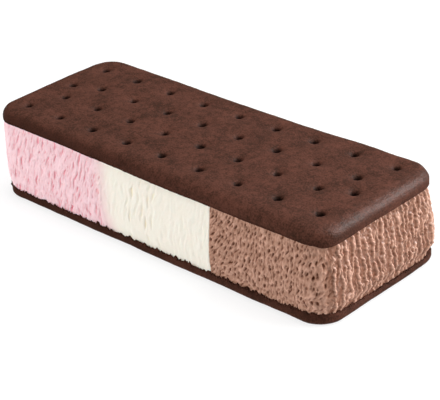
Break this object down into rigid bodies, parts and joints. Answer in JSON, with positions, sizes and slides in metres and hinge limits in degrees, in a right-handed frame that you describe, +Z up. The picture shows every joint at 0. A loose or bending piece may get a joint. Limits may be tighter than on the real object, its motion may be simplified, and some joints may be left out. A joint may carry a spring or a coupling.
{
  "type": "ice cream sandwich",
  "caption": "Oblong ice cream sandwich: strawberry, vanilla and chocolate ice cream side by side between soft dark chocolate wafers with docking holes.",
  "frame": {"origin": "middle of the lower wafer's flat underside, at the centre of the whole sandwich's box", "axes": "+X along the length from the strawberry end to the chocolate end, -Y the front long side, +Z up through the upper wafer"},
  "size_m": [0.1254, 0.0478, 0.0273],
  "materials": {
    "wafer": "soft dark chocolate wafer, satin matte, faintly wrinkled",
    "strawberry": "pale pink ice cream with deeper pink pits",
    "vanilla": "smooth cream white ice cream",
    "chocolate": "milk chocolate ice cream with ragged upright ridges"
  },
  "bodies": {
    "root": {"wafer_top": "wafer", "wafer_bottom": "wafer", "ice_cream_strawberry": "strawberry", "ice_cream_vanilla": "vanilla", "ice_cream_chocolate": "chocolate"}
  },
  "joints": []
}
